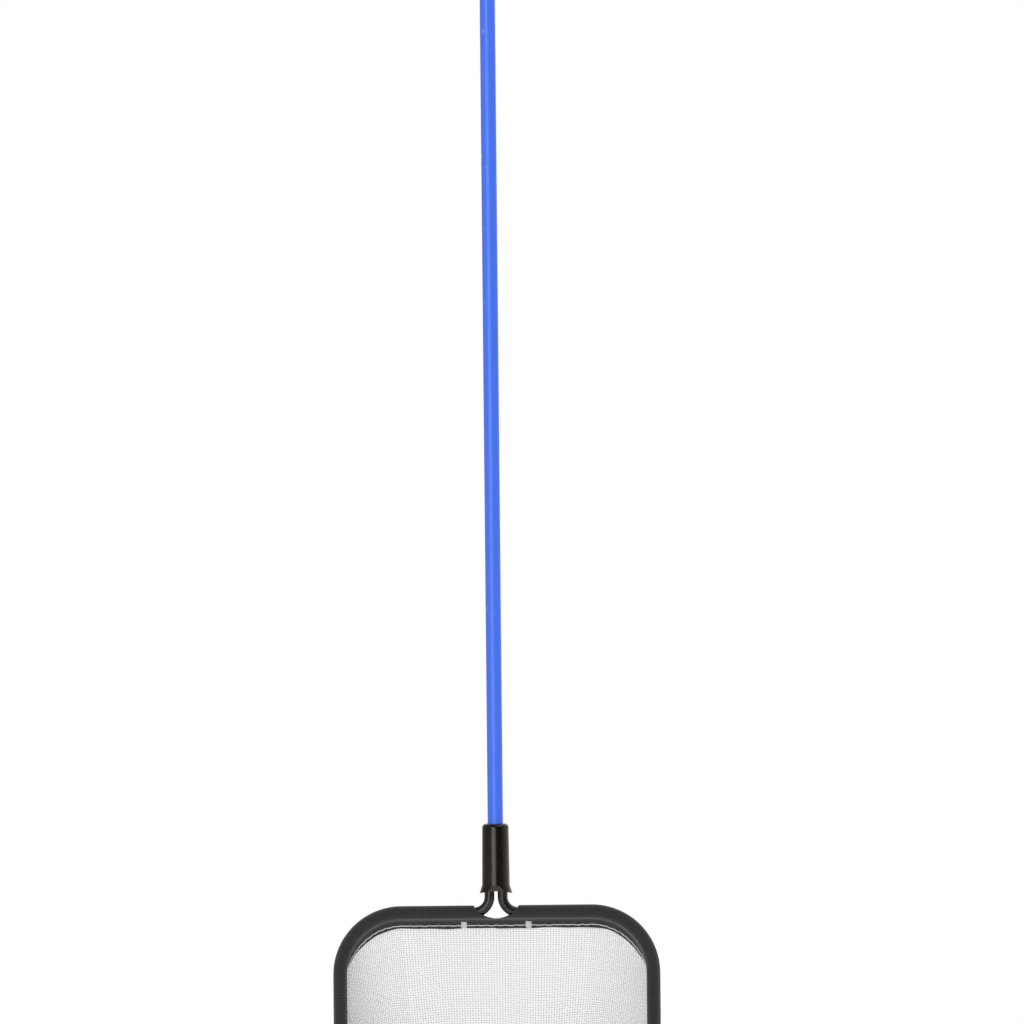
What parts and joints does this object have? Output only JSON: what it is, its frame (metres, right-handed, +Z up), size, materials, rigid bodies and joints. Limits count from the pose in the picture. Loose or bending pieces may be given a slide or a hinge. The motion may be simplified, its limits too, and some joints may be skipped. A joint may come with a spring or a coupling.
{
  "type": "aquarium fish net",
  "caption": "Small aquarium fish net: slim plastic-covered handle with a hanging eye, rounded wire hoop and a bag of fine white mesh.",
  "frame": {"origin": "centre of the hanging eye at the handle's free end", "axes": "+Z up along the handle, +X across the hoop, +Y towards the back, where the bag hangs"},
  "size_m": [0.0874, 0.056, 0.3655],
  "materials": {
    "sheath_plastic": "gloss",
    "ferrule_plastic": "satin",
    "cap_plastic": "satin",
    "steel": "drawn",
    "wire_coat": "satin",
    "hem_tape": "woven",
    "mesh": "fine open mesh",
    "seam_thread": "thread"
  },
  "bodies": {
    "root": {"end_cap": "cap_plastic", "handle_rod": "steel", "handle_sheath": "sheath_plastic", "ferrule": "ferrule_plastic", "crimp_band": "steel", "hoop_wire": "steel", "hoop_coating": "wire_coat", "hem_tape": "hem_tape", "net_back_panel": "mesh", "net_front_panel": "mesh", "bag_seam": "seam_thread"}
  },
  "joints": []
}
